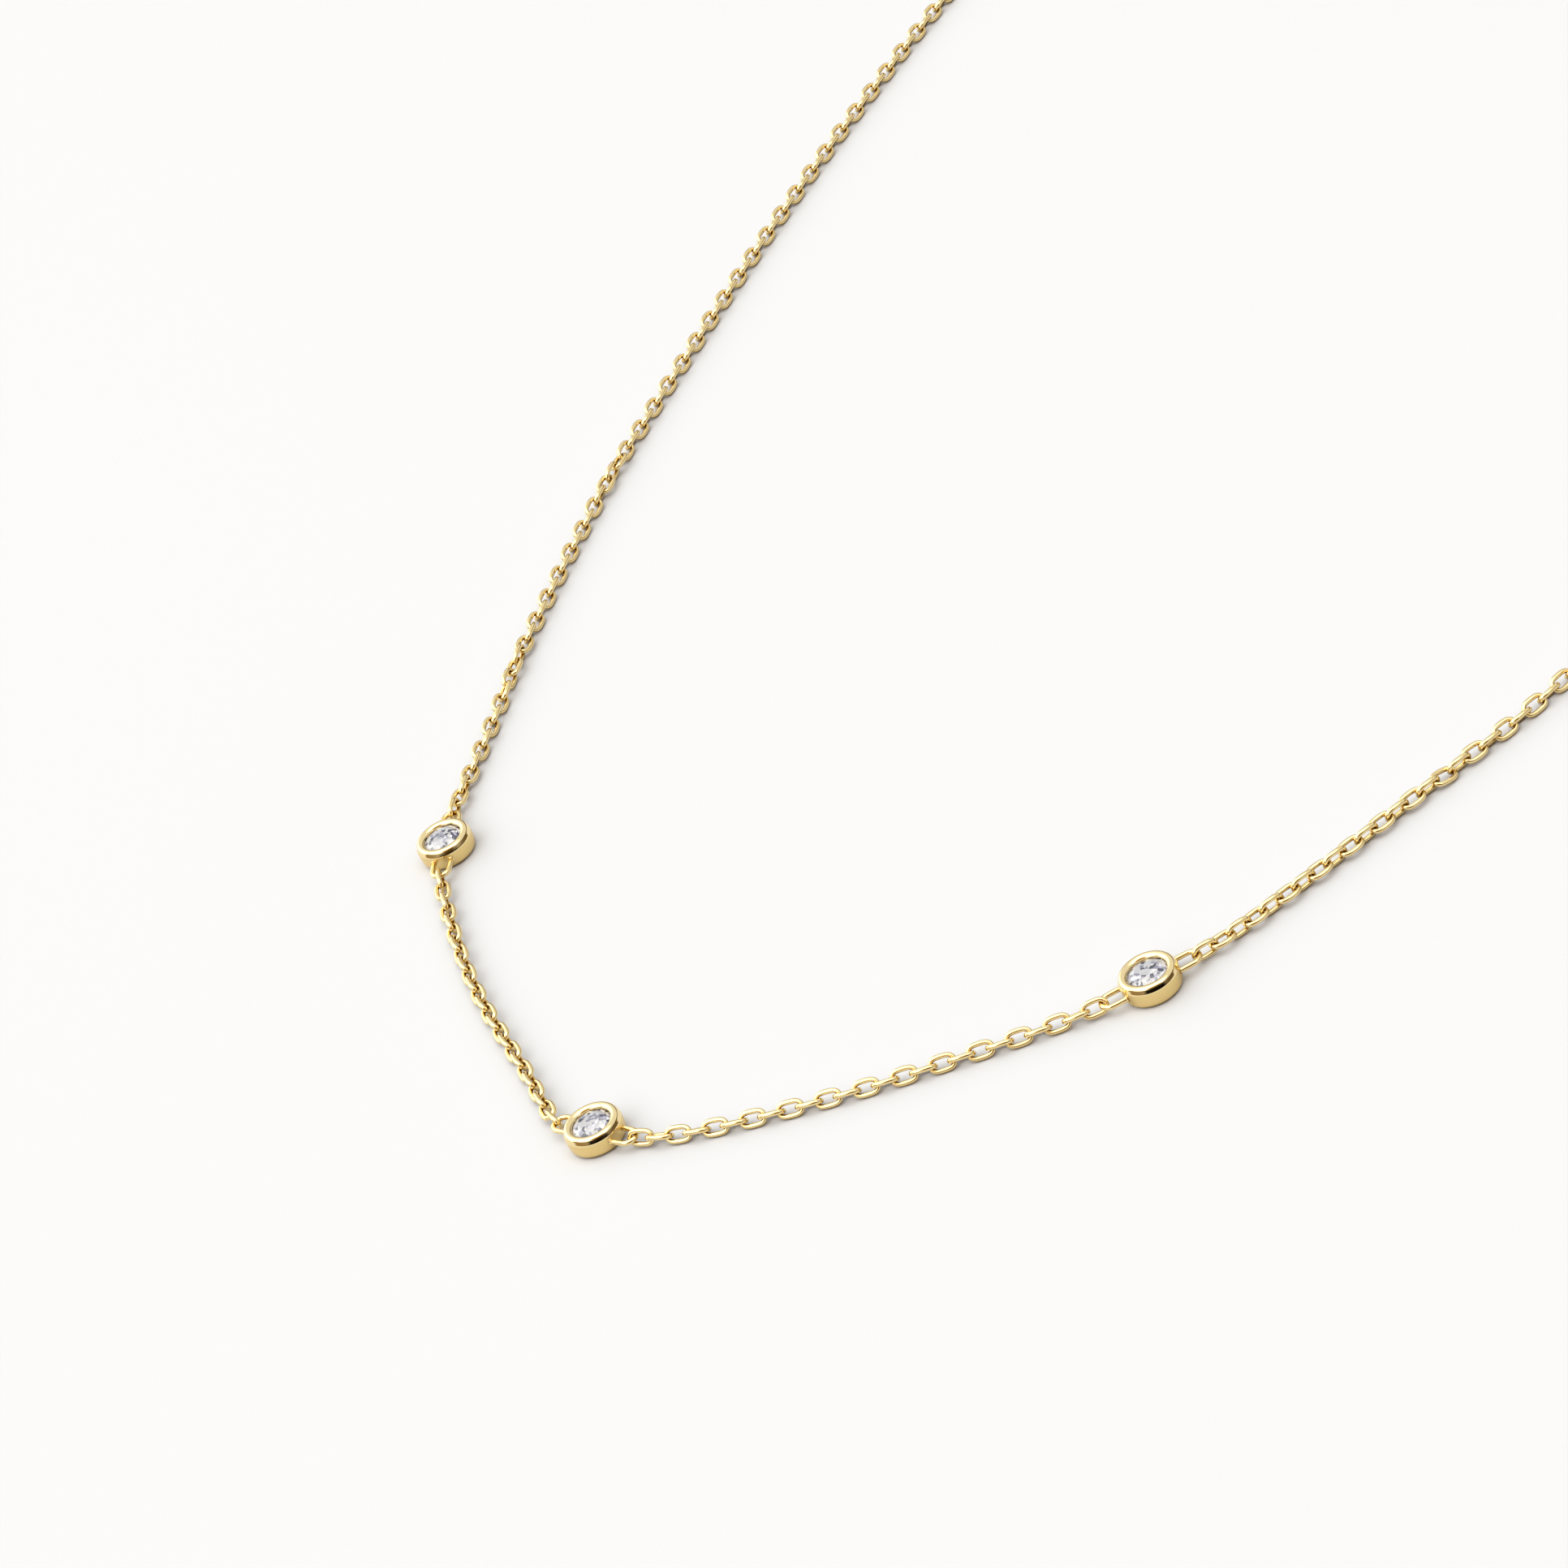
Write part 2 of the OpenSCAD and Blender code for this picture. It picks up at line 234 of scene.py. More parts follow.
# %% Node trees and materials
class Graph:
    """A node tree with one method that adds any node to it."""

    def __init__(self, tree):
        self.tree = tree

    def node(self, kind, settings, inputs, output=0):
        """Adds a node, sets it up, fills its inputs and returns one of its outputs."""
        node = self.tree.nodes.new(kind)
        for key, value in settings.items():
            setattr(node, key, value)
        for key, value in inputs.items():
            self.put(node.inputs[key], value)
        return Output(self, node.outputs[output])

    def put(self, socket, value):
        """Links an output to the socket, or sets the socket to a plain value."""
        if isinstance(value, Output):
            self.tree.links.new(value.socket, socket)
        else:
            socket.default_value = value

    def steps(self, share, low_end, high_end):
        """0 below the low end, 1 above the high end and a smooth step between them."""
        return self.node("ShaderNodeMapRange", {"interpolation_type": "SMOOTHSTEP"},
                         {"Value": share, "From Min": low_end, "From Max": high_end})

    def blend(self, share, first, second):
        """The first colour where the share is 0 and the second where it is 1."""
        return self.node("ShaderNodeMix", {"data_type": "RGBA"}, {0: share, 6: first, 7: second}, 2)


class Finish(Graph):
    """A new material with a Principled shader."""

    def __init__(self, name):
        self.material = bpy.data.materials.new(name)
        self.material.use_nodes = True
        super().__init__(self.material.node_tree)
        self.tree.nodes.clear()
        self.shader = self.tree.nodes.new("ShaderNodeBsdfPrincipled")
        output = self.tree.nodes.new("ShaderNodeOutputMaterial")
        self.tree.links.new(self.shader.outputs["BSDF"], output.inputs["Surface"])

    def set(self, **values):
        """Fills the shader's sockets by name, with _ for each space."""
        for key, value in values.items():
            self.put(self.shader.inputs[key.replace("_", " ")], value)

    def place(self):
        """Where a point lies in the piece's own space, in metres."""
        return self.node("ShaderNodeTexCoord", {}, {}, "Object")

    def unshaded_share(self, nook):
        """0 in a nook that other metal closes in, where the gold gets painted shade, and 1 where the
        surface lies open.
        """
        reach, closed, clear = nook
        open_sky = self.node("ShaderNodeAmbientOcclusion", {"samples": 8}, {"Distance": reach}, "AO")
        return self.steps(open_sky, closed, clear)

    def noise(self, scale, detail=2.0):
        inputs = {"Vector": self.place(), "Scale": scale, "Detail": detail}
        return self.node("ShaderNodeTexNoise", {}, inputs)

    def bump(self, height, strength, distance):
        inputs = {"Height": height, "Strength": strength, "Distance": distance}
        return self.node("ShaderNodeBump", {}, inputs)


print("helpers for node trees and materials are ready")

# %% [markdown]
# ## Gold
#
# Polished gold is a metal with almost no roughness, and its colour is the colour of its
# reflections. The chain has been handled, so its polish is a little uneven: a fine noise
# lifts the roughness here and there, and a very small bump breaks the mirror image.
#
# Where links close in on each other, the light has met gold several times before it comes
# out, and it comes out brown. Part of that follows from the reflections themselves. The rest
# is painted shade: an Ambient Occlusion node tells how closed in a point is, and a darker brown
# is painted into the gold's colour there. A nook is given by how far the node looks, and by
# the shares of open sky at which it counts as closed and as clear.
#
# The cup's wall is softer than its rim, as a cup is finished before its rim is rubbed over
# the stone. The rim is also painted paler than the wall, a painted highlight. Which part of a
# cup a point belongs to follows from its height, so one material can carry both finishes and
# that painted highlight. A noise's scale counts its waves in a metre, so a scale of 900 gives
# about one wave for each millimetre.

# %% Polished gold for links, loops and clasp
GOLD = (0.82, 0.63, 0.28, 1)
# A paler gold: a random tone on the chain, and a painted highlight on the cups' rims
PALE_GOLD_AND_RIM_HIGHLIGHT = (0.89, 0.72, 0.38, 1)
# Painted shade: the brown that the gold's nooks are darkened to
PAINTED_SHADE_BROWN = (0.46, 0.28, 0.06, 1)
GRAIN_DETAIL = 3.0
GRAIN_HEIGHT = 0.02 * MM
CHAIN_CLOUD = 900.0
CHAIN_GRAIN = 9000.0
CHAIN_BUMP = 0.12
CHAIN_SHADE_NOOK = (0.9 * MM, 0.26, 0.74)
CHAIN_ROUGHNESS = 0.07
CLOUDED_BY = 0.08
CLOUDED_FROM = (0.4, 0.7)


def chain_gold():
    finish = Finish("polished gold")
    cloud = finish.noise(CHAIN_CLOUD)
    grain = finish.noise(CHAIN_GRAIN, GRAIN_DETAIL)
    polished = finish.blend(cloud, GOLD, PALE_GOLD_AND_RIM_HIGHLIGHT)
    # Painted shade: the nooks between links are painted brown
    colour = finish.blend(finish.unshaded_share(CHAIN_SHADE_NOOK), PAINTED_SHADE_BROWN, polished)
    finish.set(Base_Color=colour, Metallic=1.0)
    finish.set(Roughness=CHAIN_ROUGHNESS + CLOUDED_BY * finish.steps(cloud, *CLOUDED_FROM))
    finish.set(Normal=finish.bump(grain, CHAIN_BUMP, GRAIN_HEIGHT))
    return finish.material


CHAIN_GOLD = chain_gold()
print("the chain's gold is called", CHAIN_GOLD.name)

# %% Gold of the cups, softer below, smoother at the rim, with a painted highlight there
DEEP_GOLD = (0.76, 0.57, 0.24, 1)
CUP_CLOUD = 700.0
CUP_GRAIN = 12000.0
CUP_BUMP = 0.18
RIM_FLATTER_BY = 0.14
CUP_SHADE_NOOK = (1.0 * MM, 0.10, 0.60)
CUP_ROUGHNESS = 0.34
RIM_SMOOTHER_BY = 0.26
RIM_STARTS = (1.28 * MM, 1.36 * MM)


def cup_gold():
    finish = Finish("cup gold")
    height = finish.node("ShaderNodeSeparateXYZ", {}, {"Vector": finish.place()}, 2)
    rim = finish.steps(height, *RIM_STARTS)
    grain = finish.noise(CUP_GRAIN, GRAIN_DETAIL)
    cloud = finish.noise(CUP_CLOUD)
    # Painted highlight: the rim is painted paler than the wall
    rim_highlighted_gold = finish.blend(rim, finish.blend(cloud, DEEP_GOLD, GOLD), PALE_GOLD_AND_RIM_HIGHLIGHT)
    # Painted shade: the cup's nooks are painted brown
    colour = finish.blend(finish.unshaded_share(CUP_SHADE_NOOK), PAINTED_SHADE_BROWN, rim_highlighted_gold)
    finish.set(Base_Color=colour, Metallic=1.0)
    finish.set(Roughness=CUP_ROUGHNESS - RIM_SMOOTHER_BY * rim)
    finish.set(Normal=finish.bump(grain, CUP_BUMP - RIM_FLATTER_BY * rim, GRAIN_HEIGHT))
    return finish.material


CUP_GOLD = cup_gold()
print("the cups' gold is called", CUP_GOLD.name)

# %% [markdown]
# ## The stones
#
# A brilliant sparkles because light that enters its top is thrown back by the facets below.
# The model's stones already have every main facet, flat and sharp, so they stay and only get
# their material: clear, very smooth, and with a high refraction.
#
# Seen through its table, a real stone also shows dozens of facets mirrored in each other,
# most of them white, some lavender and a few almost black. They are far too small to cut
# here, so they are painted reflections: a Voronoi texture breaks the stone into flat cells
# with a random colour each, and those random numbers choose the cells' colours: about
# six in ten are white, two lavender and two almost black. The stone is about two thirds clear,
# and the rest of it shows those painted reflections.

# %% Clear stone
# Painted reflections: the colours of the facets mirrored inside the stone
PAINTED_WHITE_REFLECTION = (0.97, 0.98, 1.0, 1)
PAINTED_LAVENDER_REFLECTION = (0.40, 0.41, 0.52, 1)
PAINTED_DARK_REFLECTION = (0.02, 0.02, 0.05, 1)
CELL_SCALE = 3600.0
LAVENDER_FROM = (0.74, 0.80)
DARK_FROM = (0.80, 0.82)
FACET_ROUGHNESS = 0.02
REFRACTION = 1.9
CLEAR_SHARE = 0.64


def clear_stone():
    finish = Finish("clear stone")
    pattern = {"Vector": finish.place(), "Scale": CELL_SCALE}
    # Painted reflections: flat cells of white, lavender and almost black
    cells = finish.node("ShaderNodeTexVoronoi", {"feature": "F1"}, pattern, "Color")
    red, green = (finish.node("ShaderNodeSeparateColor", {}, {"Color": cells}, k) for k in (0, 1))
    shade = finish.blend(finish.steps(red, *LAVENDER_FROM), PAINTED_WHITE_REFLECTION, PAINTED_LAVENDER_REFLECTION)
    finish.set(Base_Color=finish.blend(finish.steps(green, *DARK_FROM), shade, PAINTED_DARK_REFLECTION))
    finish.set(Roughness=FACET_ROUGHNESS + FACET_ROUGHNESS * red)
    finish.set(IOR=REFRACTION, Transmission_Weight=CLEAR_SHARE)
    return finish.material


CLEAR = clear_stone()
for name in ("stone_left", "stone_middle", "stone_right"):
    stone = bpy.data.objects[name]
    stone.data.materials.clear()
    stone.data.materials.append(CLEAR)
print("stones dressed")

# %% [markdown]
# ## One link
#
# A jeweller winds wire round a mandrel and cuts it into rings. In Blender a small circle, the
# wire's section, is extruded for a straight side, spun half a turn for one end of the link,
# extruded and spun again, and the two open ends are joined. The link is repeated hundreds of
# times, so it has few faces and a Subdivision Surface modifier rounds it off. That modifier
# draws the wire in, so the section starts a little too thick.

# %% Wire bent into an oval
WELD_SHARE = 0.02


def smoothed(sides):
    """The share of its radius that a ring of points keeps when a subdivision smooths it."""
    return (3 + math.cos(2 * math.pi / sides)) / 4


def bend_wire(wire, half, straight, arc_steps, sides, closed):
    """A bmesh of wire bent round one end, or round both ends when it is closed.

    half is the radius of the bend, and straight the length of the sides between the ends.
    """
    bm = bmesh.new()
    section = bmesh.ops.create_circle(bm, segments=sides, radius=wire / 2 / smoothed(sides))["verts"]
    bmesh.ops.rotate(bm, verts=section, cent=(0, 0, 0), matrix=Matrix.Rotation(math.pi / 2, 3, "Y"))
    bmesh.ops.translate(bm, verts=section, vec=(0, -half, 0))
    edges = list(bm.edges)
    for end in range(2 if closed else 1):
        side = 1 if end == 0 else -1
        if straight > 0:
            made = bmesh.ops.extrude_edge_only(bm, edges=edges)["geom"]
            verts = [g for g in made if isinstance(g, bmesh.types.BMVert)]
            bmesh.ops.translate(bm, verts=verts, vec=(side * straight, 0, 0))
            edges = [g for g in made if isinstance(g, bmesh.types.BMEdge)]
        centre = (straight if end == 0 else 0, 0, 0)
        made = bmesh.ops.spin(bm, geom=edges, cent=centre, axis=(0, 0, 1), dvec=(0, 0, 0),
                              angle=math.pi, steps=arc_steps, use_duplicate=False)["geom_last"]
        edges = [g for g in made if isinstance(g, bmesh.types.BMEdge)]
    if not closed and straight > 0:
        made = bmesh.ops.extrude_edge_only(bm, edges=edges)["geom"]
        verts = [g for g in made if isinstance(g, bmesh.types.BMVert)]
        bmesh.ops.translate(bm, verts=verts, vec=(-straight, 0, 0))
    bmesh.ops.remove_doubles(bm, verts=bm.verts, dist=wire * WELD_SHARE)
    bmesh.ops.recalc_face_normals(bm, faces=bm.faces)
    return bm


print("a section of six sides keeps", round(smoothed(6), 3), "of its radius")

# %% The link that is repeated
LINK_SIDES = 6
LINK_STEPS = 5


def link_pattern():
    """The mesh of one link, centred on the origin, that every link is a copy of."""
    straight = LINK_LENGTH - LINK_WIRE - 2 * link_half
    bm = bend_wire(LINK_WIRE * MM, link_half * MM, straight * MM, LINK_STEPS, LINK_SIDES, True)
    bmesh.ops.translate(bm, verts=bm.verts, vec=(-straight * MM / 2, 0, 0))
    mesh = bpy.data.meshes.new("link pattern")
    bm.to_mesh(mesh)
    bm.free()
    return mesh


LINK = link_pattern()
print("one link has", len(LINK.polygons), "faces")

# %% [markdown]
# ## Laying a stretch of links
#
# Each link hooks into the next, so every second one is turned a quarter turn about the
# chain. A chain that lies on a table leans over until both kinds rest on it, and it leans to
# one side or the other as the chain is twisted. The table of leans gives that twist at a few
# links of each stretch, and between them it changes evenly. Beside a cup the chain climbs to
# the height of the cup's loops, and at the back to the clasp's.

# %% How the links lean and how high they lie
# Each pair is a link's number along its stretch and its lean in degrees
LEAN = {
    "chain_left": ((0, 45), (43, 45), (49, -45), (59.6, -45), (65.6, 45), (70, 45), (75, 90)),
    "chain_front_left": ((0, 0), (2, 0), (6, 28), (21, 28), (24, 15)),
    "chain_front_right": ((0, -25), (1.5, -37), (20, -37), (24, -30)),
    "chain_right": ((0, 0), (15, 25)),
    "back_left": ((0, 45), (1, 45)),
    "back_right": ((0, 25), (3, 45)),
}
# The number of links over which the chain climbs to a loop
CLIMB = 2.5


def lean_at(rows, k):
    """The lean of link k in degrees, read between the table's rows."""
    for (k0, a0), (k1, a1) in zip(rows, rows[1:]):
        if k <= k1:
            return a0 + (a1 - a0) * (k - k0) / (k1 - k0)
    return rows[-1][1]


def link_turn(rows, k, first):
    """How far link k is turned about the chain; first is 1 where the first link lies flat."""
    return math.radians((90 if (k + first) % 2 == 0 else 0) + lean_at(rows, k))


def link_need(turn):
    """How high the middle of a link lies when the link rests on the ground."""
    return link_half * abs(math.sin(turn)) + LINK_WIRE / 2


print("a leaning chain's middle lies", round(link_need(math.radians(45)), 2), "mm high")

# %% A stretch of links as one mesh
def links_between(start, end):
    """The number of links that fit between two joints of the route."""
    return round((end - start) / LINK_PITCH)


def lay_links(rows, start, end, loops, first):
    """Links from start to end along the route; loops says which ends climb, and how high."""
    count = links_between(start, end)
    needs = [link_need(link_turn(rows, k, first)) for k in range(count)]
    joints = []
    for j in range(count + 1):
        p = at(start + (end - start) * j / count) - MIDDLE
        height = max(needs[max(j - 1, 0)], needs[min(j, count - 1)])
        for far, level in zip((j, count - j), loops):
            if level and far < CLIMB:
                height += (level - height) * (1 - far / CLIMB)
        joints.append(Vector((p.x, p.y, height)) * MM)
    bm = bmesh.new()
    for k, (p, q) in enumerate(zip(joints, joints[1:])):
        along = q - p
        pose = Matrix.Translation((p + q) / 2) @ along.to_track_quat("X", "Z").to_matrix().to_4x4()
        pose = pose @ Matrix.Rotation(link_turn(rows, k, first), 4, "X")
        seen = len(bm.verts)
        bm.from_mesh(LINK)
        bm.verts.ensure_lookup_table()
        bmesh.ops.transform(bm, matrix=pose, verts=bm.verts[seen:])
    return bm


print("the whole route would hold", links_between(0, TOTAL), "links")

# %% From a bmesh to a finished piece
def finish_piece(name, bm, material, *nodes):
    """Turns a bmesh into a smooth piece on the root, and hides the named nodes."""
    mesh = bpy.data.meshes.new(name)
    bm.to_mesh(mesh)
    bm.free()
    mesh.shade_smooth()
    mesh.materials.append(material)
    piece = bpy.data.objects.new(name, mesh)
    bpy.context.collection.objects.link(piece)
    rounder = piece.modifiers.new("round", "SUBSURF")
    rounder.levels = 1
    rounder.render_levels = 1
    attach(piece, "root")
    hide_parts(*nodes)
    return piece


print("pieces of the chain and the cups ride on the root and take the gold slot")

# %% [markdown]
# ## The clasp's two ends
#
# At the back a plain ring closes the chain. It has a soldered loop on one side and passes
# through a loose end ring on the other. The links of the back run from those two ends to the
# stretches that the picture shows, so the number of links follows from the length.

# %% Where each stretch starts and ends
CLASP_RADIUS = 2.2
CLASP_TUBE = 0.9
RING_RADIUS = 1.05
RING_WIRE = 0.4
LINK_PLAY = 0.18
RING_END_HEIGHT = 1.15
CLASP_END_HEIGHT = 0.75
ring_middle = CLASP_RADIUS + RING_RADIUS - RING_WIRE / 2 - CLASP_TUBE / 2 - LINK_PLAY
ring_joint = ring_middle + RING_RADIUS - RING_WIRE / 2 - LINK_PLAY / 2
start_left = before[0] - LINKS_LEFT * LINK_PITCH
end_right = after[2] + LINKS_RIGHT * LINK_PITCH
clasp_joint = TOTAL - (CLASP_RADIUS + JOINT_REACH - RIM_RADIUS)
links_back_left = links_between(ring_joint, start_left)
links_back_right = links_between(end_right, clasp_joint)
print("links at the back:", links_back_left, "and", links_back_right)

# %% Lay all six stretches
# Start, end, the height that each end climbs to or 0, and 1 where the first link lies flat
stretches = {
    "chain_left": (start_left, before[0], (0, LOOP_HEIGHT), 0),
    "chain_front_left": (after[0], before[1], (LOOP_HEIGHT, LOOP_HEIGHT), 0),
    "chain_front_right": (after[1], before[2], (LOOP_HEIGHT, LOOP_HEIGHT), 0),
    "chain_right": (after[2], end_right, (LOOP_HEIGHT, 0), 0),
    "back_left": (ring_joint, start_left, (RING_END_HEIGHT, 0), links_back_left % 2),
    "back_right": (end_right, clasp_joint, (0, CLASP_END_HEIGHT), LINKS_RIGHT % 2),
}
for name, row in stretches.items():
    links = lay_links(LEAN[name], *row)
    piece = finish_piece(name + "_links", links, CHAIN_GOLD, name)
    print(piece.name, "has", links_between(row[0], row[1]), "links")

# %% [markdown]
# ## The cups
#
# Each cup is a short round tube. Its foot is rounded, its wall swells a little upwards, and
# its thick rim is rubbed over the stone's edge in a smooth dome that ends in a fine lip. A
# lathe would turn that shape, so a spin makes it: the profile is drawn once, from the foot up
# over the rim and down to the seat and the hole under the stone, and turned once round the
# middle. Between the wall and the dome the profile has a short steep edge. It mirrors the dark
# front of the studio, and that is the thin black line which the picture shows on each cup.
#
# A loop of wire is soldered on either side. It is bent as a link is, but only round one end,
# with its open ends pushed into the wall, and a small flat bead of solder closes each joint.

# %% Profile of a cup
# Points are pairs of radius and height, in millimetres, from the foot up and in again
WALL = ((2.195, 0.75), (2.215, 1.0), (2.215, 1.23))
STEEP_EDGE = ((2.21, 1.345), (2.172, 1.43), (2.123, 1.535))
DOME_CENTRE = (1.81, 1.45)
DOME_ACROSS = 0.325
LIP_CENTRE = (1.79, 1.52)
LIP_ACROSS = 0.32
SEAT = ((OPENING_RADIUS, 1.48), (OPENING_RADIUS + 0.07, 1.42), (1.58, 1.33))
HOLE = ((1.10, 0.86), (1.10, 0.02))
# An arc's first and last angle in degrees, and the steps between them
FOOT_ARC = (-90, -6, 8)
DOME_ARC = (39, 90, 8)
LIP_ARC = (104, 172, 6)


def arc_points(centre, across, upward, first, last, steps):
    """Points on an oval arc between two angles in degrees."""
    angles = [math.radians(first + (last - first) * k / steps) for k in range(steps + 1)]
    return [(centre[0] + across * math.cos(a), centre[1] + upward * math.sin(a)) for a in angles]


def cup_profile():
    foot = arc_points((FOOT_RADIUS - FOOT_EDGE, FOOT_EDGE), FOOT_EDGE, FOOT_EDGE, *FOOT_ARC)
    dome = arc_points(DOME_CENTRE, DOME_ACROSS, CUP_HEIGHT - DOME_CENTRE[1], *DOME_ARC)
    lip = arc_points(LIP_CENTRE, LIP_ACROSS, CUP_HEIGHT - LIP_CENTRE[1], *LIP_ARC)
    return [*foot, *WALL, *STEEP_EDGE, *dome, *lip, *SEAT, *HOLE]


print("the cup's profile has", len(cup_profile()), "points")

# %% The profile turned into a cup
CUP_SIDES = 72
CUP_WELD = 0.001 * MM


def turn_cup():
    """The cup's profile turned once round the middle."""
    bm = bmesh.new()
    verts = [bm.verts.new((r * MM, 0, z * MM)) for r, z in cup_profile()]
    edges = [bm.edges.new(pair) for pair in zip(verts, verts[1:] + verts[:1])]
    bmesh.ops.spin(bm, geom=verts + edges, cent=(0, 0, 0), axis=(0, 0, 1), dvec=(0, 0, 0),
                   angle=2 * math.pi, steps=CUP_SIDES, use_merge=True, use_duplicate=False)
    bmesh.ops.remove_doubles(bm, verts=bm.verts, dist=CUP_WELD)
    bmesh.ops.recalc_face_normals(bm, faces=bm.faces)
    return bm


print("a cup is turned in", CUP_SIDES, "steps")

# %% A loop with its beads of solder
LOOP_SIDES = 12
LOOP_STEPS = 12
BEAD_SIDES = 12
BEAD_RINGS = 8
BEAD_FLATNESS = 0.4


def loop_shape(side):
    """A half-oval loop with a bead of solder where each of its ends meets the wall."""
    half = LOOP_WIDTH / 2
    straight = LOOP_REACH - half - LOOP_START
    loop = bend_wire(LOOP_WIRE * MM, half * MM, straight * MM, LOOP_STEPS, LOOP_SIDES, False)
    bmesh.ops.translate(loop, verts=loop.verts, vec=(LOOP_START * MM, 0, 0))
    wall = (RIM_RADIUS ** 2 - half ** 2) ** 0.5
    for end in (-half, half):
        bead = bmesh.ops.create_uvsphere(loop, u_segments=BEAD_SIDES, v_segments=BEAD_RINGS,
                                         radius=BEAD_RADIUS * MM)["verts"]
        bmesh.ops.scale(loop, verts=bead, vec=(BEAD_FLATNESS, 1.0, 1.0))
        bmesh.ops.translate(loop, verts=bead, vec=(wall * MM, end * MM, 0))
    bmesh.ops.translate(loop, verts=loop.verts, vec=(0, 0, LOOP_HEIGHT * MM))
    half_turns = Matrix.Rotation(math.pi * side, 3, "Z")
    bmesh.ops.rotate(loop, verts=loop.verts, cent=(0, 0, 0), matrix=half_turns)
    for face in loop.faces:
        face.material_index = 1
    return loop


print("a loop's wire reaches", LOOP_REACH, "mm from the cup's middle")

# %% Three cups with their loops
def add_loops(bm):
    """Adds a loop on both sides of a cup."""
    for side in (0, 1):
        loop = loop_shape(side)
        mesh = bpy.data.meshes.new("loop")
        loop.to_mesh(mesh)
        loop.free()
        bm.from_mesh(mesh)
        bpy.data.meshes.remove(mesh)


for name, middle, turn in zip(("left", "middle", "right"), stations, turns):
    cup = turn_cup()
    add_loops(cup)
    spot = (middle - MIDDLE) * MM
    pose = Matrix.Translation((spot.x, spot.y, 0)) @ Matrix.Rotation(turn, 4, "Z")
    bmesh.ops.transform(cup, matrix=pose, verts=cup.verts)
    piece = finish_piece("cup_" + name, cup, CUP_GOLD, "setting_" + name)
    piece.data.materials.append(CHAIN_GOLD)
    print(piece.name, "has", len(piece.data.polygons), "faces")

# %% [markdown]
# ## Clasp and end ring
#
# The picture doesn't show the back of the chain, so its clasp stays a plain ring. The
# model's own solids have the right shape and stay, with the chain's gold on them.

# %% Gold on the clasp and its ring
for name in ("clasp", "end_ring"):
    solid = bpy.data.objects[name]
    solid.data.materials.clear()
    solid.data.materials.append(CHAIN_GOLD)
    print(name, "is gold")

# %% [markdown]
# ## Floor and light
#
# The picture has a plain, almost white ground and soft light from above and behind, which
# leaves only small shadows beside the cups. Polished metal shows its surroundings more than
# its own colour, so what stands round it matters. This studio is built from the direction
# that a ray leaves in: it is brightest overhead, dim and warm near the ground, and has a
# bright wall at the back left. In front it is black close to the ground, and a dim round
# opening stands above that, as the opening for the lens in a tent of white cloth does.
#
# The ground is not painted white. A light grey under so much light comes out almost white
# in the picture, and it throws less of that light back up at the metal.

# %% Floor
GROUND_GREY = (0.56, 0.565, 0.57, 1)
PALER_GREY = (0.57, 0.575, 0.58, 1)
GROUND_CLOUD = 6.0
GROUND_ROUGHNESS = 0.6
GROUND_ROUGHER_BY = 0.1
GROUND_GLOSS = 0.1
GROUND_HALF = 3.0


def ground_finish():
    finish = Finish("pale ground")
    cloud = finish.noise(GROUND_CLOUD)
    finish.set(Base_Color=finish.blend(cloud, GROUND_GREY, PALER_GREY))
    finish.set(Roughness=GROUND_ROUGHNESS + GROUND_ROUGHER_BY * cloud)
    finish.set(Specular_IOR_Level=GROUND_GLOSS)
    return finish.material


sheet = bmesh.new()
bmesh.ops.create_grid(sheet, x_segments=1, y_segments=1, size=GROUND_HALF)
ground_mesh = bpy.data.meshes.new("ground")
sheet.to_mesh(ground_mesh)
sheet.free()
ground_mesh.materials.append(ground_finish())
floor = bpy.data.objects.new("ground", ground_mesh)
bpy.context.collection.objects.link(floor)
print("the ground is", 2 * GROUND_HALF, "m wide")

# %% Sky
LOW_SKY = 0.15
SIDE_SKY = 0.20
MIDDLE_SKY = 0.93
TOP_SKY = 2.7
WALL_SKY = 1.5
OPENING_DIMS = 0.8
WALL_WHITENS = 0.5
WARM = (1.0, 0.64, 0.28, 1)
WHITE = (1.0, 1.0, 1.0, 1)
# A patch of the sky: the direction of its middle, and how near to it the patch starts and is full
OVERHEAD = ((-0.20, -0.35, 0.92), 0.60, 0.80)
BRIGHT_WALL = ((-0.70, 0.66, 0.27), 0.74, 0.90)
LENS_OPENING = ((0.0, -0.83, 0.55), 0.84, 0.95)
# Where a smooth step starts and ends, along one of the direction's three parts
LEFT_SIDE = (0.2, 0.8)
MIDDLE_HEIGHT = (0.12, 0.42)
FRONT_SIDE = (0.70, 0.86)
FRONT_HEIGHT = (0.20, 0.36)
WARM_HEIGHT = (0.0, 0.4)

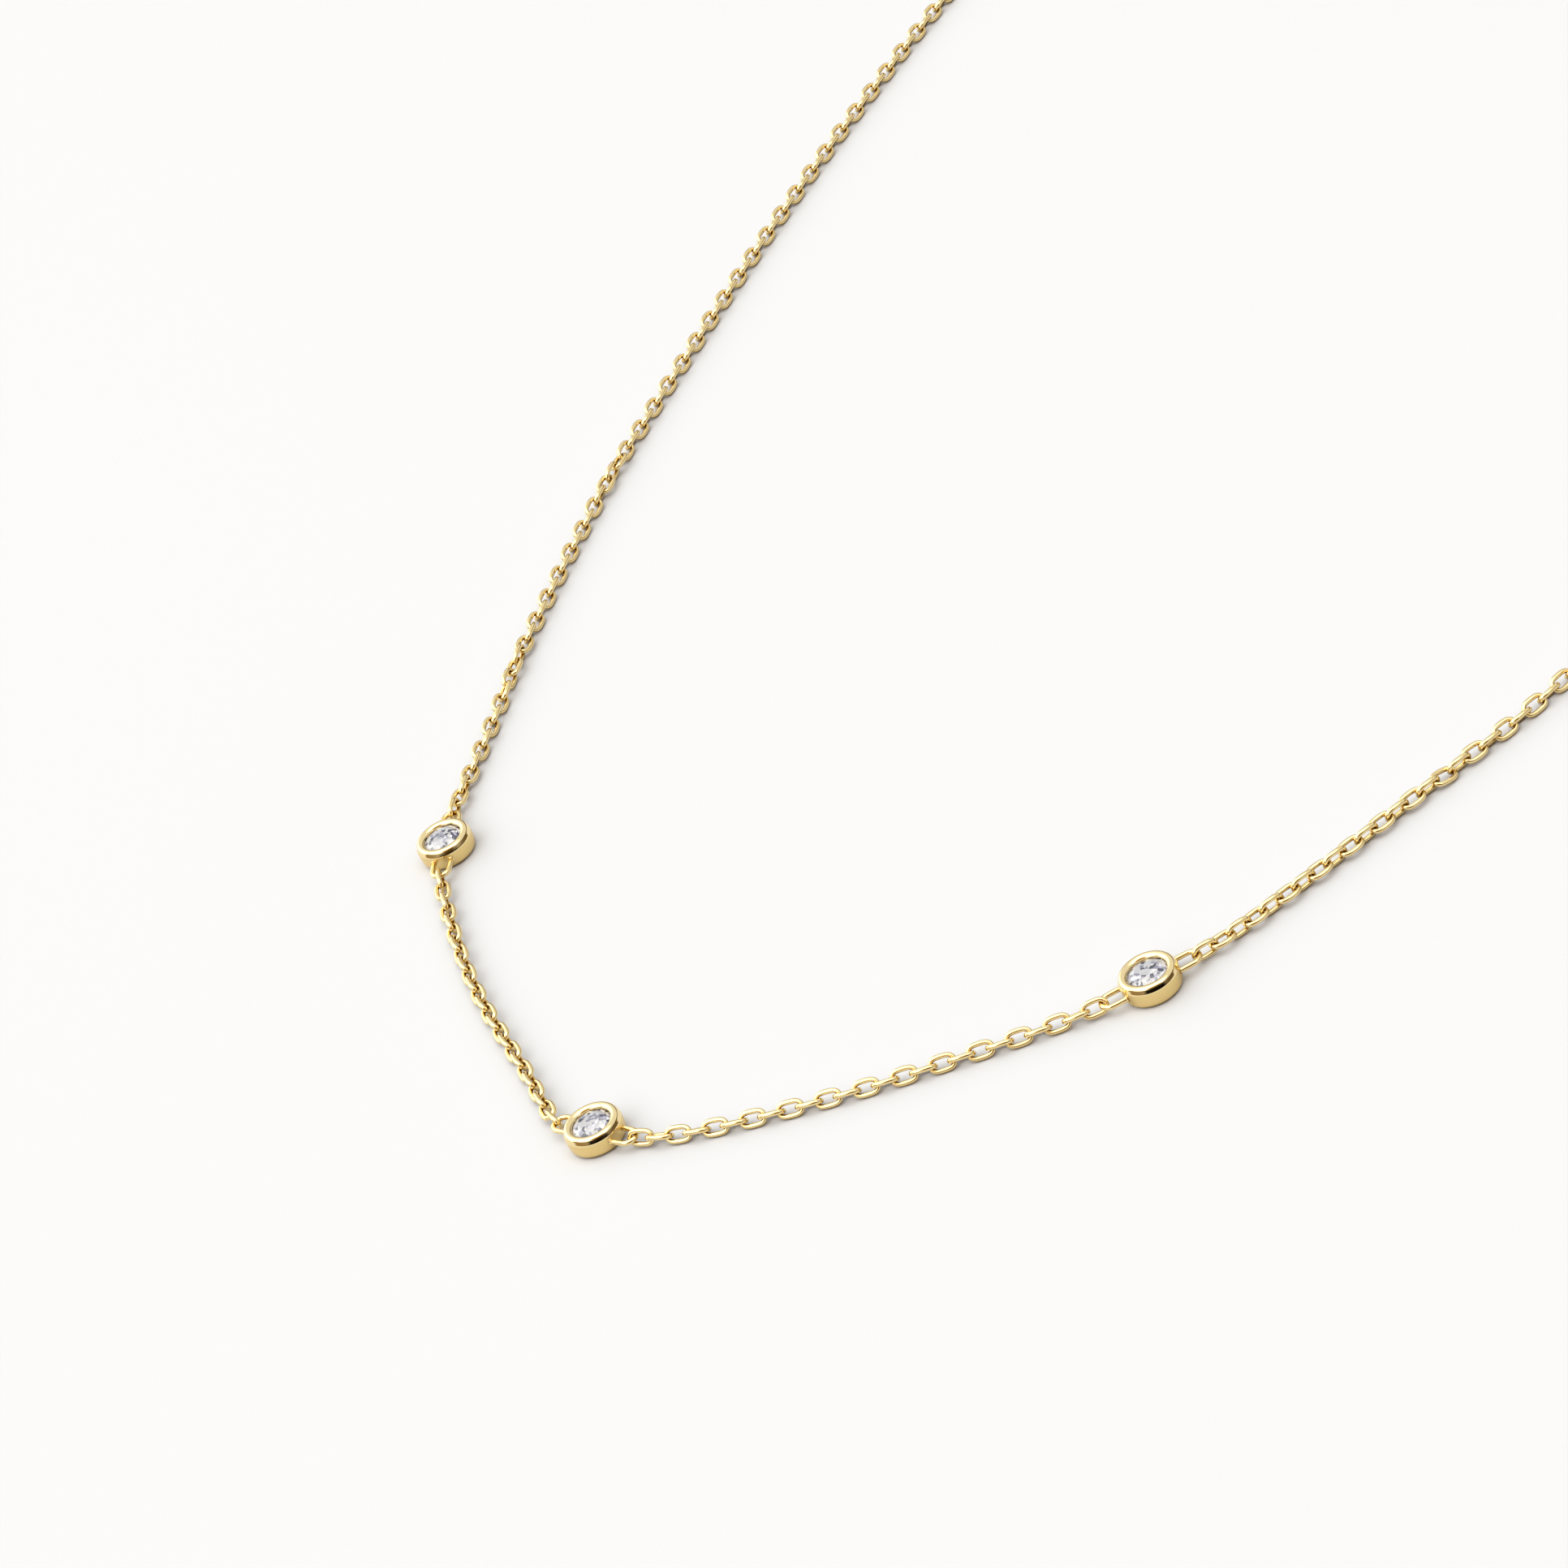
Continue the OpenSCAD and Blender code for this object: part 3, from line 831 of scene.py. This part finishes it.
world = bpy.data.worlds.new("studio")
world.use_nodes = True
bpy.context.scene.world = world
sky = Graph(world.node_tree)


def patch_share(direction, patch):
    """0 outside the patch of sky and 1 well inside it."""
    middle, start, full = patch
    vectors = {0: direction, 1: middle}
    nearness = sky.node("ShaderNodeVectorMath", {"operation": "DOT_PRODUCT"}, vectors, "Value")
    return sky.steps(nearness, start, full)


def sky_light():
    """How bright the studio is in each direction, and its colour there."""
    direction = sky.node("ShaderNodeTexCoord", {}, {}, "Generated")
    parts = [sky.node("ShaderNodeSeparateXYZ", {}, {"Vector": direction}, k) for k in range(3)]
    side, back, height = parts
    low = LOW_SKY + SIDE_SKY * sky.steps(-1 * side, *LEFT_SIDE)
    middle = low + (MIDDLE_SKY - low) * sky.steps(height, *MIDDLE_HEIGHT)
    level = middle + (TOP_SKY - MIDDLE_SKY) * patch_share(direction, OVERHEAD)
    front = sky.steps(-1 * back, *FRONT_SIDE) * (1 - sky.steps(height, *FRONT_HEIGHT))
    opening = patch_share(direction, LENS_OPENING)
    wall = patch_share(direction, BRIGHT_WALL)
    clear = sky.steps(height + WALL_WHITENS * wall, *WARM_HEIGHT) * (1 - opening)
    strength = (level + WALL_SKY * wall) * (1 - front) * (1 - OPENING_DIMS * opening)
    return strength, sky.blend(clear, WARM, WHITE)


background = world.node_tree.nodes["Background"]
strength, tint = sky_light()
sky.put(background.inputs["Strength"], strength)
sky.put(background.inputs["Color"], tint)
bpy.context.scene.view_settings.view_transform = "Standard"
print("sky runs from", LOW_SKY, "at the horizon to", TOP_SKY, "overhead")

# %% Key lamp
KEY_PLACE = Vector((-0.45, 0.55, 1.2))
KEY_SIZE = 1.3
KEY_WATTS = 1.5

lamp = bpy.data.lights.new("key", "AREA")
lamp.shape = "DISK"
lamp.size = KEY_SIZE
lamp.energy = KEY_WATTS
holder = bpy.data.objects.new("key", lamp)
holder.location = KEY_PLACE
holder.rotation_euler = (-KEY_PLACE).to_track_quat("-Z", "Y").to_euler()
bpy.context.collection.objects.link(holder)
print("one key lamp of", KEY_WATTS, "watts, from the back left")
